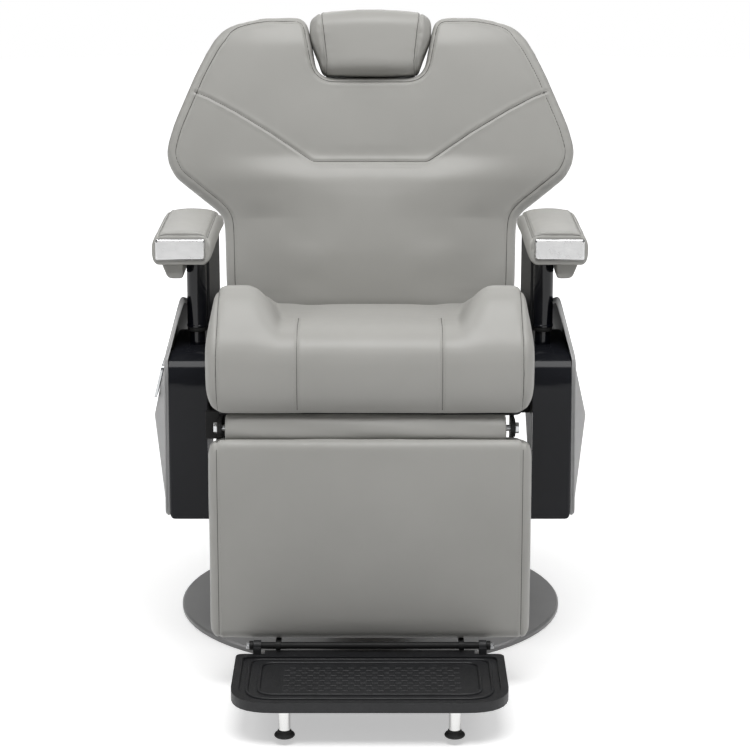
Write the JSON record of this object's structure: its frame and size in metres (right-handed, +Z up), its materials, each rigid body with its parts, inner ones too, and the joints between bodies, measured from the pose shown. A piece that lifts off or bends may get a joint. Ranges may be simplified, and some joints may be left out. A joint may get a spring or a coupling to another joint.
{
  "type": "barber chair",
  "caption": "Hydraulic barber chair with a reclining back, sliding headrest, coupled leg rest, fold-up footrest and a round base plate.",
  "frame": {"origin": "centre of the base plate's underside, on the floor", "axes": "+Z up; the chair faces -Y; +X is to the right of someone who stands in front of the chair"},
  "size_m": [0.713, 1.012, 1.0172],
  "materials": {
    "leather": "soft satin leatherette, light warm grey",
    "black_paint": "semi-gloss black powder coat",
    "gloss_black": "high-gloss black enamel",
    "housing_plastic": "gloss black moulded plastic",
    "base_paint": "satin dark grey enamel",
    "chrome": "polished chrome",
    "steel": "zinc-plated steel",
    "grey_plastic": "satin light grey moulded plastic",
    "textured_plastic": "grained black plastic",
    "rubber": "matt black rubber",
    "wood": "bare plywood",
    "black_wood": "black-stained plywood"
  },
  "bodies": {
    "base": {"base_plate": "base_paint", "pump_body": "black_paint", "pump_cover": "gloss_black", "flange_bolt_1": "steel", "flange_bolt_2": "steel", "flange_bolt_3": "steel", "flange_bolt_4": "steel", "pedal_pin": "steel"},
    "pedal": {"pedal_arm": "chrome", "pedal_pad": "rubber"},
    "lift": {"lift_ram": "chrome"},
    "seat": {"swivel_socket": "black_paint", "seat_frame": "black_paint", "side_plate_right": "black_paint", "side_plate_left": "black_paint", "seat_board": "black_wood", "seat_cushion": "leather", "back_pin_right": "steel", "back_pin_left": "steel", "knee_bolt_right": "steel", "knee_bolt_left": "steel", "side_housing_right": "housing_plastic", "side_housing_left": "housing_plastic", "side_panel_right": "grey_plastic", "side_panel_left": "grey_plastic", "arm_post_right": "gloss_black", "arm_post_left": "gloss_black", "arm_sleeve_right": "gloss_black", "arm_sleeve_left": "gloss_black", "arm_side_panel_right": "textured_plastic", "arm_side_panel_left": "textured_plastic", "arm_pad_right": "leather", "arm_pad_left": "leather", "arm_block_right": "leather", "arm_block_left": "leather", "arm_end_plate_right": "chrome", "arm_end_plate_left": "chrome", "recline_cylinder": "black_paint"},
    "lever": {"recline_lever": "steel"},
    "rod": {"recline_rod": "chrome"},
    "link": {"leg_link": "black_paint"},
    "back": {"back_frame": "black_paint", "back_board": "wood", "back_cushion": "leather", "back_rear_panel": "leather", "headrest_guide": "black_paint"},
    "headrest": {"headrest_bar": "steel", "headrest_board": "wood", "headrest_cushion": "leather"},
    "legrest": {"legrest_frame": "black_paint", "legrest_board": "wood", "legrest_cushion": "leather", "knee_flap": "leather", "footrest_tube": "black_paint"},
    "footrest": {"footrest_plate": "textured_plastic", "footrest_post_right": "chrome", "footrest_post_left": "chrome", "footrest_glide_right": "rubber", "footrest_glide_left": "rubber"}
  },
  "joints": [
    {"name": "lift", "type": "slide", "parent": "base", "child": "lift", "axis": [0, 0, 1], "range_m": [0, 0.15]},
    {"name": "swivel", "type": "hinge", "parent": "lift", "child": "seat", "pos_m": [0, 0, 0.35], "axis": [0, 0, 1], "continuous": true},
    {"name": "recline", "type": "hinge", "parent": "seat", "child": "back", "pos_m": [0, 0.11, 0.44], "axis": [-1, 0, 0], "range_deg": [0, 50]},
    {"name": "legrest_lift", "type": "hinge", "parent": "seat", "child": "legrest", "pos_m": [0, -0.405, 0.424], "axis": [-1, 0, 0], "range_deg": [0, 66]},
    {"name": "rod_travel", "type": "slide", "parent": "seat", "child": "rod", "axis": [0, -1, 0], "range_m": [0, 0.075]},
    {"name": "link_travel", "type": "slide", "parent": "seat", "child": "link", "axis": [0, -1, 0], "range_m": [0, 0.075]},
    {"name": "headrest_slide", "type": "slide", "parent": "back", "child": "headrest", "axis": [0, 0.2079, 0.9781], "range_m": [0, 0.09]},
    {"name": "footrest_flip", "type": "hinge", "parent": "legrest", "child": "footrest", "pos_m": [0, -0.45, 0.082], "axis": [-1, 0, 0], "range_deg": [0, 80]},
    {"name": "recline_release", "type": "hinge", "parent": "seat", "child": "lever", "pos_m": [-0.339, -0.04, 0.47], "axis": [-1, 0, 0], "range_deg": [0, 20], "stiffness_Nm_per_rad": 3, "springref_deg": -17.19},
    {"name": "pump_pedal", "type": "hinge", "parent": "base", "child": "pedal", "pos_m": [0, 0.08, 0.054], "axis": [-1, 0, 0], "range_deg": [0, 12], "stiffness_Nm_per_rad": 30, "springref_deg": -11.46}
  ],
  "couplings": [
    {"joint": "legrest_lift", "follows": "recline", "ratio": 1.3},
    {"joint": "rod_travel", "follows": "recline", "m_per_rad": 0.0823},
    {"joint": "link_travel", "follows": "recline", "m_per_rad": 0.0823}
  ]
}
